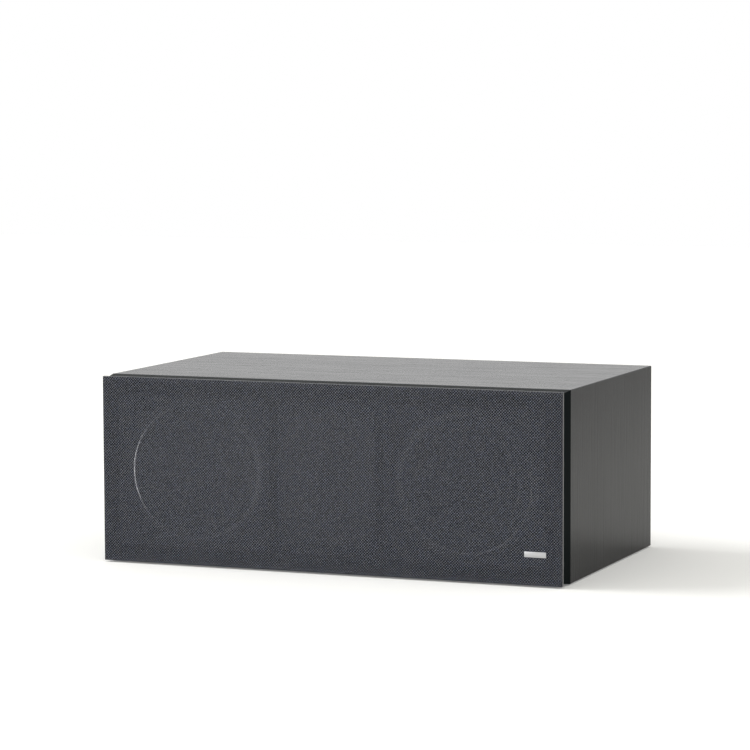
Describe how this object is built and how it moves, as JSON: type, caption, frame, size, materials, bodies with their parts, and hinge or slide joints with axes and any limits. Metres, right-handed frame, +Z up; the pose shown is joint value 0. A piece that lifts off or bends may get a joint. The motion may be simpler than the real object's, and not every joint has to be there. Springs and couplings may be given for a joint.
{
  "type": "center channel speaker",
  "caption": "Long low loudspeaker cabinet with a pull-off cloth grille, twin woofers round a faceted tweeter, rear ports and binding posts.",
  "frame": {"origin": "middle of the footprint, on the shelf under the foot pads", "axes": "+X along the cabinet to the viewer's right, -Y out of the grille, +Z up"},
  "size_m": [0.53, 0.3138, 0.2052],
  "materials": {
    "ash_vinyl": "black wood-grain vinyl on board",
    "back_paint": "matt black vinyl on board",
    "baffle_paint": "satin black paint on board",
    "bare_board": "bare fibreboard",
    "foot_foam": "matt black foam rubber",
    "socket_rubber": "matt black rubber",
    "frame_plastic": "matt black moulding",
    "grille_weave": "woven charcoal cloth",
    "basket_casting": "black powder-coated casting",
    "trim_satin": "satin black moulding",
    "plated_steel": "zinc-plated steel",
    "ferrite": "dark grey ferrite",
    "spider_cloth": "resin-stiffened cloth",
    "cone_plastic": "matt black moulded cone",
    "coil_copper": "enamelled copper winding",
    "surround_rubber": "black butyl rubber",
    "faceplate_plastic": "satin black moulding",
    "dome_silk": "black coated silk",
    "port_plastic": "matt black moulding",
    "cup_plastic": "fine-textured black moulding",
    "post_metal": "gold-plated brass",
    "cap_red": "glossy red moulding",
    "cap_black": "glossy black moulding",
    "circuit_board": "green lacquered laminate",
    "standoff_brass": "brass",
    "capacitor_film": "yellow film wrap",
    "resistor_cement": "white cement",
    "wadding_fleece": "white polyester fleece"
  },
  "bodies": {
    "cabinet": {"top_board": "ash_vinyl", "bottom_board": "ash_vinyl", "left_board": "ash_vinyl", "right_board": "ash_vinyl", "back_board": "back_paint", "front_baffle": "baffle_paint", "left_brace": "bare_board", "right_brace": "bare_board", "foot_pads": "foot_foam", "grille_sockets": "socket_rubber", "woofer_baskets": "basket_casting", "woofer_trim_rings": "trim_satin", "woofer_top_plates": "plated_steel", "woofer_yokes": "plated_steel", "tweeter_top_plate": "plated_steel", "tweeter_yoke": "plated_steel", "woofer_magnets": "ferrite", "tweeter_magnet": "ferrite", "woofer_spiders": "spider_cloth", "crossover_coils": "coil_copper", "left_surround": "surround_rubber", "right_surround": "surround_rubber", "tweeter_faceplate": "faceplate_plastic", "tweeter_dome": "dome_silk", "bass_ports": "port_plastic", "terminal_cup": "cup_plastic", "red_post_stud": "post_metal", "black_post_stud": "post_metal", "crossover_board": "circuit_board", "crossover_standoffs": "standoff_brass", "crossover_capacitors": "capacitor_film", "crossover_resistor": "resistor_cement", "damping_wadding": "wadding_fleece"},
    "grille": {"grille_rails": "frame_plastic", "grille_stiles": "frame_plastic", "grille_bars": "frame_plastic", "grille_cloth": "grille_weave"},
    "left_diaphragm": {"left_cone": "cone_plastic", "left_dust_cap": "cone_plastic", "left_voice_coil": "coil_copper"},
    "right_diaphragm": {"right_cone": "cone_plastic", "right_dust_cap": "cone_plastic", "right_voice_coil": "coil_copper"},
    "red_clamp": {"red_post_collar": "post_metal"},
    "red_nut": {"red_post_cap": "cap_red"},
    "black_clamp": {"black_post_collar": "post_metal"},
    "black_nut": {"black_post_cap": "cap_black"}
  },
  "joints": [
    {"name": "grille_pull", "type": "slide", "parent": "cabinet", "child": "grille", "axis": [0, -1, 0], "range_m": [0, 0.04]},
    {"name": "left_cone_travel", "type": "slide", "parent": "cabinet", "child": "left_diaphragm", "axis": [0, -1, 0], "range_m": [-0.004, 0.004], "stiffness_N_per_m": 1200, "deforming": ["left_surround", "woofer_spiders"]},
    {"name": "right_cone_travel", "type": "slide", "parent": "cabinet", "child": "right_diaphragm", "axis": [0, -1, 0], "range_m": [-0.004, 0.004], "stiffness_N_per_m": 1200, "deforming": ["right_surround", "woofer_spiders"]},
    {"name": "red_clamp_lift", "type": "slide", "parent": "cabinet", "child": "red_clamp", "axis": [0, 1, 0], "range_m": [0, 0.005]},
    {"name": "red_nut_turn", "type": "hinge", "parent": "red_clamp", "child": "red_nut", "pos_m": [-0.00953, 0.1469, 0.1032], "axis": [0, 1, 0], "range_deg": [0, 1805]},
    {"name": "black_clamp_lift", "type": "slide", "parent": "cabinet", "child": "black_clamp", "axis": [0, 1, 0], "range_m": [0, 0.005]},
    {"name": "black_nut_turn", "type": "hinge", "parent": "black_clamp", "child": "black_nut", "pos_m": [0.00953, 0.1469, 0.1032], "axis": [0, 1, 0], "range_deg": [0, 1805]}
  ],
  "couplings": [
    {"joint": "red_nut_turn", "follows": "red_clamp_lift", "rad_per_m": 6283.2},
    {"joint": "black_nut_turn", "follows": "black_clamp_lift", "rad_per_m": 6283.2}
  ]
}
